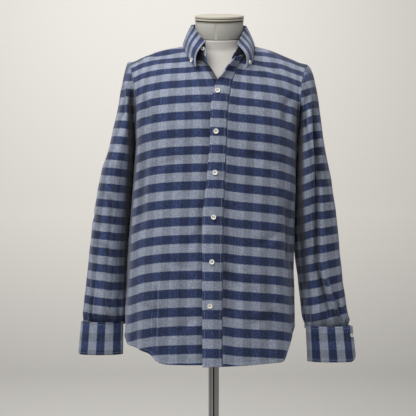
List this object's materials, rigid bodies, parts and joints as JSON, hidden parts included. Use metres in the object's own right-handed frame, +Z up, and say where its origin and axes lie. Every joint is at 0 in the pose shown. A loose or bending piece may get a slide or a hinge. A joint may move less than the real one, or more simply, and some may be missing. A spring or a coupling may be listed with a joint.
{
  "type": "flannel shirt on a limbless dress form with a pole and base",
  "caption": "Men's long-sleeved checked flannel shirt with a button-down collar, worn by a limbless dress form on a pole and round base.",
  "frame": {"origin": "centre of the round base's underside, on the pole's axis", "axes": "+Z up along the pole, -Y the way the shirt's front faces, +X towards the wearer's left sleeve"},
  "size_m": [0.6485, 0.35, 1.5976],
  "materials": {
    "flannel": "brushed",
    "button_resin": "satin",
    "form_shell": "satin",
    "neck_block": "matt",
    "chrome": "chrome",
    "base_metal": "brushed"
  },
  "bodies": {
    "root": {"front_right": "flannel", "front_left": "flannel", "front_placket": "flannel", "back": "flannel", "yoke": "flannel", "sleeve_right": "flannel", "sleeve_left": "flannel", "cuff_right": "flannel", "cuff_left": "flannel", "collar_stand": "flannel", "collar_leaf": "flannel", "button_front_1": "button_resin", "button_front_2": "button_resin", "button_front_3": "button_resin", "button_front_4": "button_resin", "button_front_5": "button_resin", "button_front_6": "button_resin", "button_stand": "button_resin", "button_collar_right": "button_resin", "button_collar_left": "button_resin", "button_cuff_right": "button_resin", "button_cuff_left": "button_resin", "form_torso": "form_shell", "form_cap": "form_shell", "form_neck": "neck_block", "form_flange": "chrome", "stand_pole": "chrome", "stand_base": "base_metal"}
  },
  "joints": []
}
